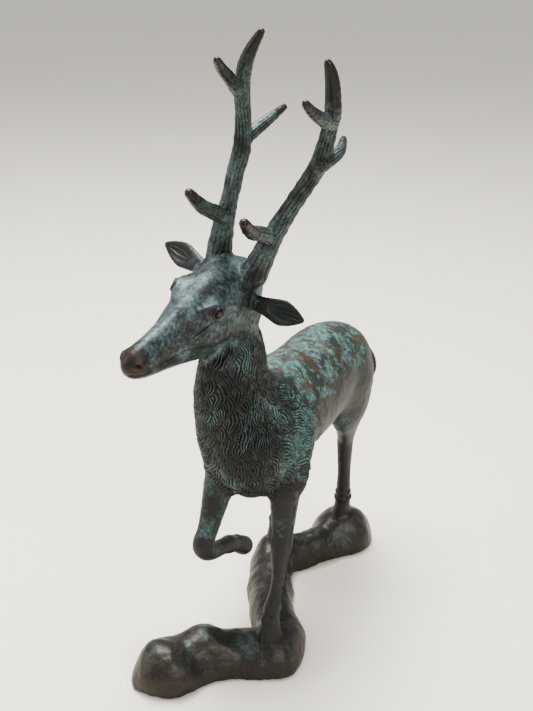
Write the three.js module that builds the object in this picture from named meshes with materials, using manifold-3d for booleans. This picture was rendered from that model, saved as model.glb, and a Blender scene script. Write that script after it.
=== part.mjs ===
// Walking stag statuette: lost-wax bronze castings pinned together on a hollow rock base.
// Millimetres, +Z up, the stag faces -Y and its left side is +X.
import * as THREE from 'three';
import Module from 'manifold-3d';
import { mergeVertices } from 'three/addons/utils/BufferGeometryUtils.js';

const wasm = await Module();
wasm.setup();

// driving dimensions
const GAP = 0.3;
const WALL = 4.6;
const BASE_WALL = 5.0;
const BOSS_BOTTOM = 10.6;
const BOSS_RADIUS = 8.0;
const SCREW_RADIUS = 2.0;
const SCREW_HEAD_RADIUS = 4.2;
const SCREW_HEAD_HEIGHT = 3.6;
const SCREW_TOP = 40.0;
const WASHER_RADIUS = 6.4;
const WASHER_THICKNESS = 1.2;
const LEG_PIN_RADIUS = 2.4;
const ANTLER_PIN_RADIUS = 2.2;
const NECK_PIN_RADIUS = 3.5;
const SLEEVE_OUTER = 7.6;
const SLEEVE_INNER = 5.4;
const PIN_CLEARANCE = 0.2;

const sideX = new THREE.Vector3(1, 0, 0);
const headSide = new THREE.Vector3(0.953, -0.09, -0.289);
const earSide = new THREE.Vector3(0.1, 0.45, 0.88);

const bronze = { color: '#3c3a34', roughness: 0.5, metalness: 0.75 };
const darkBronze = { color: '#2e2b27', roughness: 0.48, metalness: 0.8 };
const verdigris = { color: '#5c7f7b', roughness: 0.62, metalness: 0.5 };
const antlerBronze = { color: '#3f4a48', roughness: 0.52, metalness: 0.7 };
const pinBrass = { color: '#a98545', roughness: 0.35, metalness: 0.9 };
const steel = { color: '#9a9ca0', roughness: 0.35, metalness: 0.95 };

// ---- shaping helpers ----
function solidOf(geometry) {
  const plain = geometry.clone();
  plain.deleteAttribute('uv');
  plain.deleteAttribute('normal');
  const merged = mergeVertices(plain, 1e-4);
  const mesh = new wasm.Mesh({
    numProp: 3,
    vertProperties: new Float32Array(merged.attributes.position.array),
    triVerts: new Uint32Array(merged.index.array),
  });
  return new wasm.Manifold(mesh);
}

// stations are [x, y, z, half width along the side axis, half depth across it]
function loft(stations, side = sideX, options = {}) {
  const { radial = 20, steps = 14, grow = 0 } = options;
  const centres = stations.map((s) => new THREE.Vector3(s[0], s[1], s[2]));
  const curve = new THREE.CatmullRomCurve3(centres, false, 'centripetal');
  const widths = new THREE.CatmullRomCurve3(
    stations.map((s) => new THREE.Vector3(s[3], s[4], 0)), false, 'catmullrom', 0.5);
  const geometry = new THREE.CylinderGeometry(1, 1, 1, radial, steps);
  const position = geometry.attributes.position;
  for (let i = 0; i < position.count; i += 1) {
    const t = Math.min(1, Math.max(0, position.getY(i) + 0.5));
    const centre = curve.getPoint(t);
    const tangent = curve.getTangent(t);
    const across = side.clone().addScaledVector(tangent, -side.dot(tangent)).normalize();
    const depth = new THREE.Vector3().crossVectors(across, tangent);
    const size = widths.getPoint(t);
    centre.addScaledVector(across, position.getX(i) * (size.x + grow));
    centre.addScaledVector(depth, position.getZ(i) * (size.y + grow));
    if (t === 0) centre.addScaledVector(tangent, -grow);
    if (t === 1) centre.addScaledVector(tangent, grow);
    position.setXYZ(i, centre.x, centre.y, centre.z);
  }
  return solidOf(geometry);
}

function rod(from, to, radius, radial = 10) {
  const a = new THREE.Vector3(...from);
  const b = new THREE.Vector3(...to);
  const axis = b.clone().sub(a);
  const geometry = new THREE.CylinderGeometry(radius, radius, axis.length(), radial, 1);
  const turn = new THREE.Quaternion().setFromUnitVectors(
    new THREE.Vector3(0, 1, 0), axis.clone().normalize());
  geometry.applyQuaternion(turn);
  geometry.translate((a.x + b.x) / 2, (a.y + b.y) / 2, (a.z + b.z) / 2);
  return solidOf(geometry);
}

function lump(x, y, z, rx, ry, rz) {
  const geometry = new THREE.SphereGeometry(1, 11, 7);
  geometry.rotateX(Math.PI / 2);
  geometry.scale(rx, ry, rz);
  geometry.translate(x, y, z);
  return solidOf(geometry);
}

function joined(list) {
  return list.reduce((total, item) => total.add(item));
}

function without(solid, ...cutters) {
  return cutters.reduce((rest, cutter) => rest.subtract(cutter), solid);
}

// keeps the main body when a trim leaves slivers behind
function largest(solid) {
  const parts = solid.decompose();
  const bulk = (part) => {
    const box = part.boundingBox();
    const size = [0, 1, 2].map((k) => box.max[k] - box.min[k]);
    return size[0] * size[1] * size[2];
  };
  return parts.reduce((best, part) => (bulk(part) > bulk(best) ? part : best));
}

const group = new THREE.Group();
group.name = 'bronze_stag_statuette';

function place(name, solid, look) {
  const data = solid.getMesh();
  const geometry = new THREE.BufferGeometry();
  geometry.setAttribute('position', new THREE.BufferAttribute(new Float32Array(data.vertProperties), 3));
  geometry.setIndex(new THREE.BufferAttribute(new Uint32Array(data.triVerts), 1));
  geometry.computeVertexNormals();
  const mesh = new THREE.Mesh(geometry, new THREE.MeshStandardMaterial(look));
  mesh.name = name;
  group.add(mesh);
}

// ---- rock base: a winding ridge with lumps, hollow underneath ----
const ridge = [
  [-40, -108, 0, 8, 10],
  [-29, -98, 0, 19.5, 25],
  [-19, -77, 0, 18.5, 24],
  [0, -61, 0, 18.5, 22],
  [16, -50, 0, 20, 21],
  [15, -32, 0, 17, 24],
  [-2, -12, 0, 16, 21],
  [-14, 8, 0, 15.5, 20],
  [-25, 28, 0, 16, 22],
  [-27, 42, 0, 16, 25],
  [-16, 56, 0, 15, 22],
  [-6, 74, 0, 16, 22],
  [0, 92, 0, 20, 27],
  [3, 104, 0, 17, 22],
  [4, 115, 0, 7, 9],
];
const rocks = [
  [-32, -98, 6, 20, 19, 23],
  [-17, -75, 8, 16, 17, 21],
  [20, -50, 3, 19, 19, 19],
  [-29, 40, 6, 16, 16, 22],
  [1, 94, 5, 23, 22, 26],
];

function rockShape(inset) {
  const steps = inset > 0 ? 16 : 22;
  const parts = [loft(ridge, sideX, { radial: 14, steps, grow: -inset })];
  rocks.forEach((r) => {
    parts.push(lump(r[0], r[1], r[2], r[3] - inset, r[4] - inset, r[5] - inset));
  });
  const whole = joined(parts);
  const floor = solidOf(new THREE.BoxGeometry(300, 400, 120).translate(0, 0, -60));
  return whole.subtract(floor);
}

const feet = {
  left_fore: [19.0, -52.0],
  left_hind: [1.0, 92.0],
  right_hind: [-27.0, 41.0],
};
const footNames = Object.keys(feet);
const rockOuter = rockShape(0);
const rockGrown = rockShape(-GAP);
let rockInner = joined([rockShape(BASE_WALL),
  rockShape(BASE_WALL).translate(0, 0, -6)]);
footNames.forEach((name) => {
  const [x, y] = feet[name];
  rockInner = rockInner.subtract(rod([x, y, BOSS_BOTTOM], [x, y, 60], BOSS_RADIUS, 14));
});
let base = rockOuter.subtract(rockInner);
footNames.forEach((name) => {
  const [x, y] = feet[name];
  base = base.subtract(rod([x, y, -5], [x, y, 60], SCREW_RADIUS + PIN_CLEARANCE));
});
place('base', largest(base), darkBronze);

// ---- trunk, neck and head forms ----
const trunk = [
  [-2, -50, 157, 17, 24],
  [-2, -36, 158, 25, 32],
  [-2, -12, 159, 28, 35],
  [-2, 14, 158, 28.5, 33],
  [-3, 38, 158.5, 28, 31.5],
  [-4.5, 60, 159, 26.5, 31],
  [-2, 78, 157, 22.5, 28],
  [2, 91, 152, 15, 21],
  [5, 99.5, 147, 6, 9],
];
const trunkCore = [
  [-2, 0, 158, 18, 22],
  [-2, 14, 158, 23.5, 28],
  [-3, 38, 158.5, 23, 26.5],
  [-4.5, 60, 159, 21.5, 26],
  [-2, 76, 157, 16, 22],
  [0, 85, 154, 7, 11],
];
const neckLine = [
  [-2, -38, 128, 15, 13],
  [-3, -40, 138, 24, 22],
  [-4, -44, 152, 25.5, 25],
  [-6, -48, 168, 24, 26],
  [-8, -52, 192, 20, 24],
  [-6.6, -53.5, 214, 16, 20.5],
  [-8.5, -53, 231, 13, 16],
  [-9.5, -54, 243, 11, 12.5],
];
const neckCore = [
  [-3, -40, 140, 15, 13],
  [-4, -44, 152, 20.5, 20],
  [-6, -48, 168, 19, 21],
  [-8, -52, 192, 15.5, 19],
  [-7, -54, 206, 12, 14],
];
const headLine = [
  [-8.3, -39.7, 256, 9, 11],
  [-10.4, -45.4, 251.3, 16, 19],
  [-13.5, -55.4, 244.2, 19.5, 26],
  [-15.8, -67.6, 240.5, 19, 26],
  [-18, -81.2, 237.5, 15, 22],
  [-20.1, -94.7, 234.4, 10.8, 17.5],
  [-21.8, -106.5, 232.4, 8.5, 14.4],
  [-23.1, -116.6, 231.4, 7.7, 11.6],
  [-23.7, -122.7, 231, 7.4, 9],
  [-24.7, -129.2, 229.8, 3.6, 4.4],
];
const headCore = [
  [-11.3, -52, 249.6, 7, 8],
  [-12.3, -55.7, 248.1, 12, 16],
  [-15, -68.6, 243.3, 13, 17.5],
  [-17.2, -82.1, 240.2, 10, 14.5],
  [-19.1, -96, 238.1, 6.5, 9],
  [-20, -102, 237, 3, 4],
];
const big = { radial: 18, steps: 13 };
const trunkGrown = loft(trunk, sideX, { ...big, grow: GAP });
const neckOuter = loft(neckLine, sideX, big);
const neckGrown = loft(neckLine, sideX, { ...big, grow: GAP });
const headOuter = loft(headLine, headSide, big);
const headGrown = loft(headLine, headSide, { ...big, grow: GAP });

// ---- pins, sleeve and their sockets ----
const pins = {
  neck_dowel: { from: [-3, -32, 157], to: [-2, 12, 158], radius: NECK_PIN_RADIUS },
  left_foreleg_dowel: { from: [18.2, -33.5, 110], to: [13.2, -27, 143], radius: LEG_PIN_RADIUS },
  right_foreleg_dowel: { from: [-17.8, -56.5, 110], to: [-13.5, -41, 138], radius: LEG_PIN_RADIUS },
  left_hindleg_dowel: { from: [8.5, 80.5, 111], to: [10, 73, 142], radius: LEG_PIN_RADIUS },
  right_hindleg_dowel: { from: [-19.8, 63, 108], to: [-14.5, 65, 142], radius: LEG_PIN_RADIUS },
  left_antler_dowel: { from: [2.5, -54.5, 257], to: [13.6, -49.6, 280], radius: ANTLER_PIN_RADIUS },
  right_antler_dowel: { from: [-19, -54.5, 258], to: [-14.8, -50, 284], radius: ANTLER_PIN_RADIUS },
  left_ear_pin: { from: [2.6, -54.3, 250], to: [17.5, -53.5, 246.2], radius: 1.0 },
  right_ear_pin: { from: [-21, -55.8, 261], to: [-33.5, -52.4, 263.8], radius: 1.0 },
  tail_pin: { from: [1, 89.5, 158], to: [7.8, 102.6, 156.6], radius: 1.1 },
};

function pinShape(name, clearance = 0) {
  const pin = pins[name];
  const a = new THREE.Vector3(...pin.from);
  const b = new THREE.Vector3(...pin.to);
  const along = b.clone().sub(a).normalize();
  a.addScaledVector(along, -clearance);
  b.addScaledVector(along, clearance);
  return rod(a.toArray(), b.toArray(), pin.radius + clearance);
}

const sleeveFrom = [-6.4, -54, 205];
const sleeveTo = [-8.6, -55.4, 240];
const sleeveBore = rod(sleeveFrom, sleeveTo, SLEEVE_OUTER + PIN_CLEARANCE, 16);

// ---- trunk casting ----
let body = loft(trunk, sideX, big);
body = body.subtract(loft(trunkCore, sideX, { radial: 14, steps: 8 }));
body = body.subtract(neckGrown);
body = body.subtract(rod([-3, 40, 110], [-3, 40, 150], 4.0, 16));
['neck_dowel', 'left_foreleg_dowel', 'right_foreleg_dowel', 'left_hindleg_dowel',
  'right_hindleg_dowel', 'tail_pin'].forEach((name) => {
  body = body.subtract(pinShape(name, PIN_CLEARANCE));
});
place('body', largest(body), verdigris);

// ---- neck and mane casting ----
let neck = neckOuter.subtract(loft(neckCore, sideX, { radial: 14, steps: 8 }));
neck = without(neck, headGrown, sleeveBore,
  pinShape('neck_dowel', PIN_CLEARANCE),
  pinShape('left_foreleg_dowel', PIN_CLEARANCE),
  pinShape('right_foreleg_dowel', PIN_CLEARANCE));
place('neck_mane', largest(neck), bronze);

// ---- head casting ----
let head = headOuter.subtract(loft(headCore, headSide, { radial: 12, steps: 8 }));
head = without(head, sleeveBore,
  pinShape('left_antler_dowel', PIN_CLEARANCE),
  pinShape('right_antler_dowel', PIN_CLEARANCE),
  pinShape('left_ear_pin', PIN_CLEARANCE),
  pinShape('right_ear_pin', PIN_CLEARANCE));
place('head', largest(head), verdigris);

// ---- antlers: one beam, a brow tine, a back tine and a top fork each ----
const antlers = {
  left: {
    beam: [[0, -54, 252, 7.4], [6.5, -49.5, 265.9, 7], [15.5, -49.4, 284.4, 5.6],
      [24.1, -45.8, 300.6, 4.6], [33.5, -42.2, 317, 4.5], [39.8, -43, 328.3, 4.6],
      [44.5, -43.7, 345, 4], [49.4, -51.2, 354.1, 4],
      [50.7, -54.9, 365.4, 3.7], [51, -58.3, 373.5, 3], [50.3, -60.6, 379.2, 1.2]],
    brow: [[15, -50, 284, 4.4], [16.9, -62, 290, 4], [17.9, -75.5, 295, 3.6], [20.8, -88, 303.5, 2.4]],
    back: [[42, -44, 326, 3.8], [43.8, -36, 329, 3.3], [43.5, -28, 330.5, 2.8], [40, -16.6, 334, 1.5]],
    fork: [[48.5, -50, 351, 3.8], [49.7, -64, 352.5, 3.4], [49.7, -75, 357.9, 2.7], [50.1, -82.8, 363.2, 1.5]],
  },
  right: {
    beam: [[-17, -52, 257, 7.4], [-17.6, -49.5, 270.3, 7], [-13.8, -50.2, 288.8, 5.6],
      [-10.8, -48.7, 302.7, 4.6], [-8, -46.5, 318.3, 4.5], [-4.5, -47, 328.9, 4.6],
      [-2.8, -48.2, 345.4, 4], [-0.8, -52.9, 360.3, 4],
      [2.6, -55.7, 372.8, 3.7], [7.9, -57.7, 382.2, 3], [13.2, -57.8, 390.5, 1.2]],
    brow: [[-12.8, -50, 291, 4.4], [-13, -62, 297.5, 4], [-13, -74, 304, 3.6], [-12.3, -86, 313.5, 2.4]],
    back: [[-3.8, -47, 333.5, 3.8], [-1, -37, 338.5, 3.3], [1.4, -28.5, 342, 2.8], [2.4, -13.1, 346.3, 1.5]],
    fork: [[-1.2, -52, 357.5, 3.8], [-1.4, -62, 366, 3.3], [-1.5, -71.6, 373.3, 2.7], [0.5, -79, 378.3, 1.5]],
  },
};
Object.keys(antlers).forEach((hand) => {
  const set = antlers[hand];
  const round = (line) => line.map((p) => [p[0], p[1], p[2], p[3], p[3]]);
  const tine = (line) => loft(round(line), headSide, { radial: 6, steps: 5 });
  let antler = joined([
    loft(round(set.beam), headSide, { radial: 8, steps: 13 }),
    tine(set.brow),
    tine(set.back),
    tine(set.fork),
  ]);
  antler = without(antler, headGrown, neckGrown, pinShape(`${hand}_antler_dowel`, PIN_CLEARANCE),
    pinShape(`${hand}_ear_pin`, PIN_CLEARANCE));
  place(`${hand}_antler`, largest(antler), antlerBronze);
});

// ---- ears: flat leaves set into the sides of the head ----
const ears = {
  left: [[0, -54.4, 249.8, 4.4, 2.4], [12.2, -53.8, 247, 4.6, 2.4], [18.4, -53.4, 245.8, 6, 2.2],
    [24.5, -53.1, 244.5, 7.5, 2], [30.6, -52.8, 243.3, 5.2, 1.6], [34.8, -52.5, 242.5, 2.4, 1.2],
    [36.9, -52.4, 242.1, 0.8, 0.8]],
  right: [[-18, -56.6, 260.4, 4.4, 2.4], [-27.3, -54.1, 262.4, 4.6, 2.4], [-34.2, -52.2, 264, 6, 2.2],
    [-41.2, -50.2, 265.5, 7.5, 2], [-48.2, -48.3, 267.1, 5.2, 1.6], [-52.9, -47, 268.2, 2.4, 1.2],
    [-55.2, -46.3, 268.6, 0.8, 0.8]],
};
Object.keys(ears).forEach((hand) => {
  const leaf = loft(ears[hand], earSide, { radial: 10, steps: 8 });
  const root = antlers[hand].beam.slice(0, 3).map((p) => [p[0], p[1], p[2], p[3], p[3]]);
  const rootGrown = loft(root, headSide, { radial: 8, steps: 4, grow: 0.9 });
  const trimmed = without(leaf, headGrown, neckGrown, rootGrown,
    pinShape(`${hand}_ear_pin`, PIN_CLEARANCE));
  place(`${hand}_ear`, largest(trimmed), verdigris);
});

// ---- tail ----
const tailLine = [
  [3, 92, 161, 4, 3.2],
  [7, 100.5, 160.5, 6, 3.4],
  [9.5, 105, 153, 6.5, 3.2],
  [10.5, 106.5, 143, 6, 2.8],
  [10.5, 104.5, 133, 1.6, 1],
];
const tail = without(loft(tailLine, sideX, { radial: 10, steps: 8 }), trunkGrown,
  pinShape('tail_pin', PIN_CLEARANCE));
place('tail', largest(tail), verdigris);

// ---- legs ----
const legs = {
  left_foreleg: [[15, -28, 146, 9, 18], [17, -31, 128, 9.5, 16], [18.5, -35, 110, 8, 11], [20, -39, 92, 6.5, 8],
    [20, -41, 82, 6.3, 7], [20, -44, 62, 4, 4.8], [18.8, -46.6, 48, 4, 4.8], [18.5, -48.5, 41, 5, 6.2],
    [19, -51.5, 33, 5.4, 6.6], [19, -52.6, 24, 6.8, 8.6], [19, -52.6, 14, 7, 9]],
  right_foreleg: [[-15, -38, 144, 9, 16], [-18, -48, 128, 9, 14], [-18, -57, 112, 7.5, 9.5],
    [-18, -65, 98, 6.4, 7.2], [-18, -71, 88, 6.4, 6.4], [-17.8, -62, 79, 4.8, 5.2],
    [-18, -48, 74.5, 4.8, 5.3], [-18.5, -40, 71, 5.4, 5.8], [-18.9, -30, 65.5, 5.6, 6],
    [-19, -20, 58, 6.4, 6]],
  left_hindleg: [[12, 72, 148, 10, 22], [11, 74, 128, 11, 22], [7, 82, 108, 8, 13], [3, 88, 94, 6.2, 8.4],
    [2, 89, 87, 5.6, 7.2], [2, 91, 66, 5, 5.8], [2, 91, 46, 5.1, 5.6], [2, 91, 38, 5.8, 6.4],
    [1, 92, 28, 7.2, 9], [1, 92, 17, 7.4, 9.2]],
  right_hindleg: [[-12, 66, 148, 10, 22], [-16, 64, 128, 11, 22], [-20, 62, 108, 8, 14], [-23, 60, 92, 6.2, 9],
    [-25, 52, 70, 5, 5.8], [-27, 45, 48, 5.1, 5.8], [-27.2, 42, 36, 5.8, 6.6], [-27, 41, 27, 7.2, 9],
    [-27, 41, 15, 7.4, 9.2]],
};
const screwHoles = footNames.map((name) => {
  const [x, y] = feet[name];
  return rod([x, y, 0], [x, y, SCREW_TOP + PIN_CLEARANCE], SCREW_RADIUS + PIN_CLEARANCE);
});
Object.keys(legs).forEach((name) => {
  const leg = without(loft(legs[name], sideX, { radial: 10, steps: 14 }),
    trunkGrown, neckGrown, rockGrown,
    pinShape(`${name}_dowel`, PIN_CLEARANCE), ...screwHoles);
  place(name, largest(leg), darkBronze);
});

// ---- hidden pins, sleeve, screws and washers ----
Object.keys(pins).forEach((name) => {
  place(name, pinShape(name), pinBrass);
});
const sleeveShape = rod(sleeveFrom, sleeveTo, SLEEVE_OUTER, 16);
const sleeveBody = sleeveShape.subtract(rod([-6.4, -54, 200], [-8.9, -55.6, 245], SLEEVE_INNER, 16));
place('head_sleeve', sleeveBody, pinBrass);
footNames.forEach((name) => {
  const [x, y] = feet[name];
  const washerTop = BOSS_BOTTOM - 0.15;
  const washerBottom = washerTop - WASHER_THICKNESS;
  const headTop = washerBottom - 0.15;
  const headBottom = headTop - SCREW_HEAD_HEIGHT;
  const washer = rod([x, y, washerBottom], [x, y, washerTop], WASHER_RADIUS, 16).subtract(
    rod([x, y, 0], [x, y, 30], SCREW_RADIUS + PIN_CLEARANCE));
  place(`${name}_foot_washer`, washer, steel);
  const screw = joined([
    rod([x, y, headBottom], [x, y, headTop], SCREW_HEAD_RADIUS, 16),
    rod([x, y, headTop - 0.5], [x, y, SCREW_TOP], SCREW_RADIUS),
  ]).subtract(rod([x, y, headBottom - 1], [x, y, headBottom + 2], 1.7, 6));
  place(`${name}_foot_screw`, screw, steel);
});

// origin at the middle of the footprint, on the table
const box = new THREE.Box3().setFromObject(group);
const middle = box.getCenter(new THREE.Vector3());
group.children.forEach((mesh) => {
  mesh.geometry.translate(-middle.x, -middle.y, -box.min.z);
});

export default group;
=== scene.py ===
import math
import bpy
import numpy as np
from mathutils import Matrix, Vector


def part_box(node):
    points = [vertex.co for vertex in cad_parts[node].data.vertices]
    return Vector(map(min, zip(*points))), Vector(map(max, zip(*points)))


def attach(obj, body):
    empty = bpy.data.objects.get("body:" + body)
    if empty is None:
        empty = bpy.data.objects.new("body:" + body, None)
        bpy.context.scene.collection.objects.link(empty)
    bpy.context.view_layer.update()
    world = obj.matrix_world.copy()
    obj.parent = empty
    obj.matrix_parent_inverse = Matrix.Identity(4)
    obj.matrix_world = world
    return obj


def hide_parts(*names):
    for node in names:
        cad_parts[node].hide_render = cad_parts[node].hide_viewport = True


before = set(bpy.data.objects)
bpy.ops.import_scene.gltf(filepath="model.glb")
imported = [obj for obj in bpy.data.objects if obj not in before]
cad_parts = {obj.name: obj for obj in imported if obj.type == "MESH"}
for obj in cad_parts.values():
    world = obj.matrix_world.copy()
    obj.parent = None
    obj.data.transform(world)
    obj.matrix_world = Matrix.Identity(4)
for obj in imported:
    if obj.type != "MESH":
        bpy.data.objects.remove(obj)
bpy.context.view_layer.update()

import openvdb
from mathutils import Vector, Matrix
from mathutils.bvhtree import BVHTree

rng = np.random.default_rng(11)

# the sculpt is written in millimetres about the figure's own middle; the fore foot screw ties it to the frame
mm = 1000.0                     # in a metre
footSpot = (19.0, -52.0)        # that screw's place in the sculpt
footLow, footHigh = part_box("left_fore_foot_screw")
figureShift = np.array([(footLow.x + footHigh.x) * mm / 2 - footSpot[0],
                        (footLow.y + footHigh.y) * mm / 2 - footSpot[1], 0.0])
farAway = 12.0                  # mm, the value of an empty field
seamOverlap, seamSink = 1.3, 0.7    # voxels by which neighbours overlap, and mm by which the lap lies under


# working with vectors, smooth steps and fields
def unit(v):
    v = np.asarray(v, float)
    return v / np.linalg.norm(v)


def smoothStep(low, high, value):
    t = np.clip((value - low) / (high - low), 0, 1)
    return t * t * (3 - 2 * t)


def smoothLine(line, spans=3):
    # Catmull-Rom through the stations, radii included
    line = np.array(line, float)
    last = len(line) - 1
    result = []
    for i in range(last):
        p0, p1, p2, p3 = line[max(i - 1, 0)], line[i], line[i + 1], line[min(i + 2, last)]
        for k in range(spans):
            t = k / spans
            result.append(0.5 * (2 * p1 + (p2 - p0) * t + (2 * p0 - 5 * p1 + 4 * p2 - p3) * t * t
                                 + (3 * p1 - p0 - 3 * p2 + p3) * t ** 3))
    result.append(line[-1])
    return np.array(result)


def latticeNoise(points, size, seed):
    # soft value noise, about -1..1, one lump per size in mm
    table = np.random.default_rng(seed).uniform(-1, 1, (32, 32, 32)).astype(np.float32)
    q = np.asarray(points, np.float32) / size + 100.0
    cell = np.floor(q).astype(np.int32)
    t = q - cell
    t = t * t * (3 - 2 * t)
    total = np.zeros(q.shape[:-1], np.float32)
    for dx in (0, 1):
        for dy in (0, 1):
            for dz in (0, 1):
                weight = ((t[..., 0] if dx else 1 - t[..., 0]) * (t[..., 1] if dy else 1 - t[..., 1])
                          * (t[..., 2] if dz else 1 - t[..., 2]))
                total += weight * table[(cell[..., 0] + dx) % 32, (cell[..., 1] + dy) % 32,
                                        (cell[..., 2] + dz) % 32]
    return total


def smoothUnion(a, b, blend):
    h = np.clip(0.5 + 0.5 * (b - a) / blend, 0, 1)
    return b + (a - b) * h - blend * h * (1 - h)


def boxSlices(axes, low, high):
    cuts = []
    for k in range(3):
        first = int(np.searchsorted(axes[k], low[k]))
        last = int(np.searchsorted(axes[k], high[k]))
        if last - first < 1:
            return None
        cuts.append(slice(first, last))
    return tuple(cuts)


def localCoords(axes, cuts, origin):
    return (axes[0][cuts[0]][:, None, None] - np.float32(origin[0]),
            axes[1][cuts[1]][None, :, None] - np.float32(origin[1]),
            axes[2][cuts[2]][None, None, :] - np.float32(origin[2]))


def dotWith(coords, direction):
    return (coords[0] * np.float32(direction[0]) + coords[1] * np.float32(direction[1])
            + coords[2] * np.float32(direction[2]))


def ellipsoidDistance(s, u, w, a, b, c):
    near = np.sqrt((s / a) ** 2 + (u / b) ** 2 + (w / c) ** 2)
    slope = np.sqrt((s / a ** 2) ** 2 + (u / b ** 2) ** 2 + (w / c ** 2) ** 2) + 1e-5
    return near * (near - 1) / slope


def addSegment(field, axes, start, end, side, blend):
    reach = max(start[3], start[4], end[3], end[4]) + farAway
    cuts = boxSlices(axes, np.minimum(start[:3], end[:3]) - reach, np.maximum(start[:3], end[:3]) + reach)
    if cuts is None:
        return
    coords = localCoords(axes, cuts, start[:3])
    length = float(np.linalg.norm(end[:3] - start[:3]))
    along = (end[:3] - start[:3]) / length
    across = unit(side - along * np.dot(side, along))
    depth = np.cross(across, along)
    run = dotWith(coords, along)
    t = np.clip(run / length, 0, 1)
    a = np.float32(start[3]) + np.float32(end[3] - start[3]) * t
    b = np.float32(start[4]) + np.float32(end[4] - start[4]) * t
    d = ellipsoidDistance(dotWith(coords, across), dotWith(coords, depth), run - t * length, a, b,
                          np.minimum(a, b))
    field[cuts] = smoothUnion(field[cuts], np.minimum(d, farAway), blend)


def addBlob(field, axes, blob):
    centre, radii = np.array(blob["at"], float), np.array(blob["size"], float)
    turn = blob.get("turn", np.eye(3))
    reach = radii.max() + farAway
    cuts = boxSlices(axes, centre - reach, centre + reach)
    if cuts is None:
        return
    coords = localCoords(axes, cuts, centre)
    d = ellipsoidDistance(*[dotWith(coords, turn[k]) for k in range(3)], *[np.float32(r) for r in radii])
    if blob.get("dig"):
        k = blob["blend"]
        field[cuts] = -smoothUnion(-field[cuts], np.minimum(d, farAway), k)
    else:
        field[cuts] = smoothUnion(field[cuts], np.minimum(d, farAway), blob["blend"])


# the figure, part by part: a line has stations of x, y, z, half width and half depth, and blobs add or dig
sideways = np.array([1.0, 0.0, 0.0])

headFrame = {
    "poll": np.array([-4.95, -60.02, 272.0]),
    "left": unit([0.9483, -0.0837, -0.3062]),
    "forward": unit([-0.1748, -0.9429, -0.2836]),
    "up": unit([0.2649, -0.3224, 0.9088]),
}
headTurn = np.array([headFrame["left"], headFrame["forward"], headFrame["up"]])


def onHead(left, forward, up):
    return headFrame["poll"] + left * headTurn[0] + forward * headTurn[1] + up * headTurn[2]


def headStations(rows):
    return [list(onHead(*row[:3])) + [row[3], row[4]] for row in rows]


def roundLine(rows):
    return [[*row, row[3]] for row in rows]


trunk = {
    "voxel": 1.25, "blend": 6.0, "side": sideways,
    "lines": [[[-2, -50, 157, 17, 24], [-2, -36, 158, 25, 32], [-2, -12, 159, 28, 35],
               [-2, 14, 158, 28.5, 33], [-3, 38, 158.5, 28, 31.5], [-4.5, 60, 159, 26.5, 31],
               [-2, 78, 157, 22.5, 28],
               [2, 91, 152, 15, 21], [4.5, 98, 148, 7, 11]]],
    "blobs": [
        {"at": [14, -24, 148], "size": [14, 20, 26], "blend": 7},      # left shoulder
        {"at": [-17, -28, 148], "size": [13, 20, 25], "blend": 7},     # right shoulder
        {"at": [10, 72, 146], "size": [13, 22, 29], "blend": 8},       # left thigh
        {"at": [-14, 66, 146], "size": [14, 24, 29], "blend": 8},      # right thigh
    ],
}

neck = {
    "voxel": 0.85, "blend": 7.0, "side": sideways,
    "lines": [[[-2, -38, 130, 15, 12], [-3, -41, 138, 23, 21], [-4, -45, 152, 25.5, 25],
               [-6, -48, 168, 24, 26], [-8, -52, 192, 20, 24], [-6.6, -53.5, 214, 16, 20.5],
               [-8.5, -52.5, 232, 12.8, 16],
               [-9.5, -54, 246, 11.5, 13]]],
    "blobs": [],
}

head = {
    "voxel": 0.8, "blend": 3.0, "side": headTurn[0],
    "lines": [headStations([
        [0, -14, -22, 9, 11], [0, -7, -25, 16, 19], [0, 5, -29, 19.5, 26], [0, 18, -29, 19, 26],
        [0, 32, -28, 15, 22], [0, 46, -27, 10.8, 17.5], [0, 58, -25.5, 8.5, 14.4], [0, 68, -23.5, 7.7, 11.6],
        [0, 74, -22, 7, 8.6], [0, 77, -21.5, 4.5, 5.5]])],
    "blobs": [], "claim": 3.5,
}
for side in (1, -1):
    head["blobs"] += [{"at": onHead(left * side, forward, up), "size": size, "turn": headTurn, "blend": blend}
                      for left, forward, up, size, blend in (
                          (12.5, 1, -37, [8.5, 15, 13], 4),       # cheek
                          (10, 12, -45.5, [7.5, 18, 9], 4),       # jaw
                          (11, 24, -12, [5.4, 8, 5.4], 4),        # brow
                          (4.2, 74, -19.5, [3.6, 4, 4], 2))]      # nose wing

earSides = unit([0.1, 0.45, 0.88])
leftEar = {
    "voxel": 0.6, "blend": 2.0, "side": earSides,
    "lines": [[[5, -54.1, 248.4, 4.0, 2.4], [12.2, -53.8, 247, 4.6, 2.4], [18.4, -53.4, 245.8, 6, 2.2],
               [24.5, -53.1, 244.5, 7.2, 2], [30.6, -52.8, 243.3, 5.2, 1.6], [34.8, -52.5, 242.5, 2.6, 1.2],
               [36.6, -52.4, 242.1, 1.0, 0.9]]],
    "blobs": [],
}
rightEar = {
    "voxel": 0.6, "blend": 2.0, "side": earSides,
    "lines": [[[-21, -55.6, 261.2, 4.0, 2.4], [-27.3, -54.1, 262.4, 4.6, 2.4], [-34.2, -52.2, 264, 6, 2.2],
               [-41.2, -50.2, 265.5, 7.2, 2], [-48.2, -48.3, 267.1, 5.2, 1.6], [-52.9, -47, 268.2, 2.6, 1.2],
               [-55, -46.3, 268.6, 1.0, 0.9]]],
    "blobs": [],
}


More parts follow.
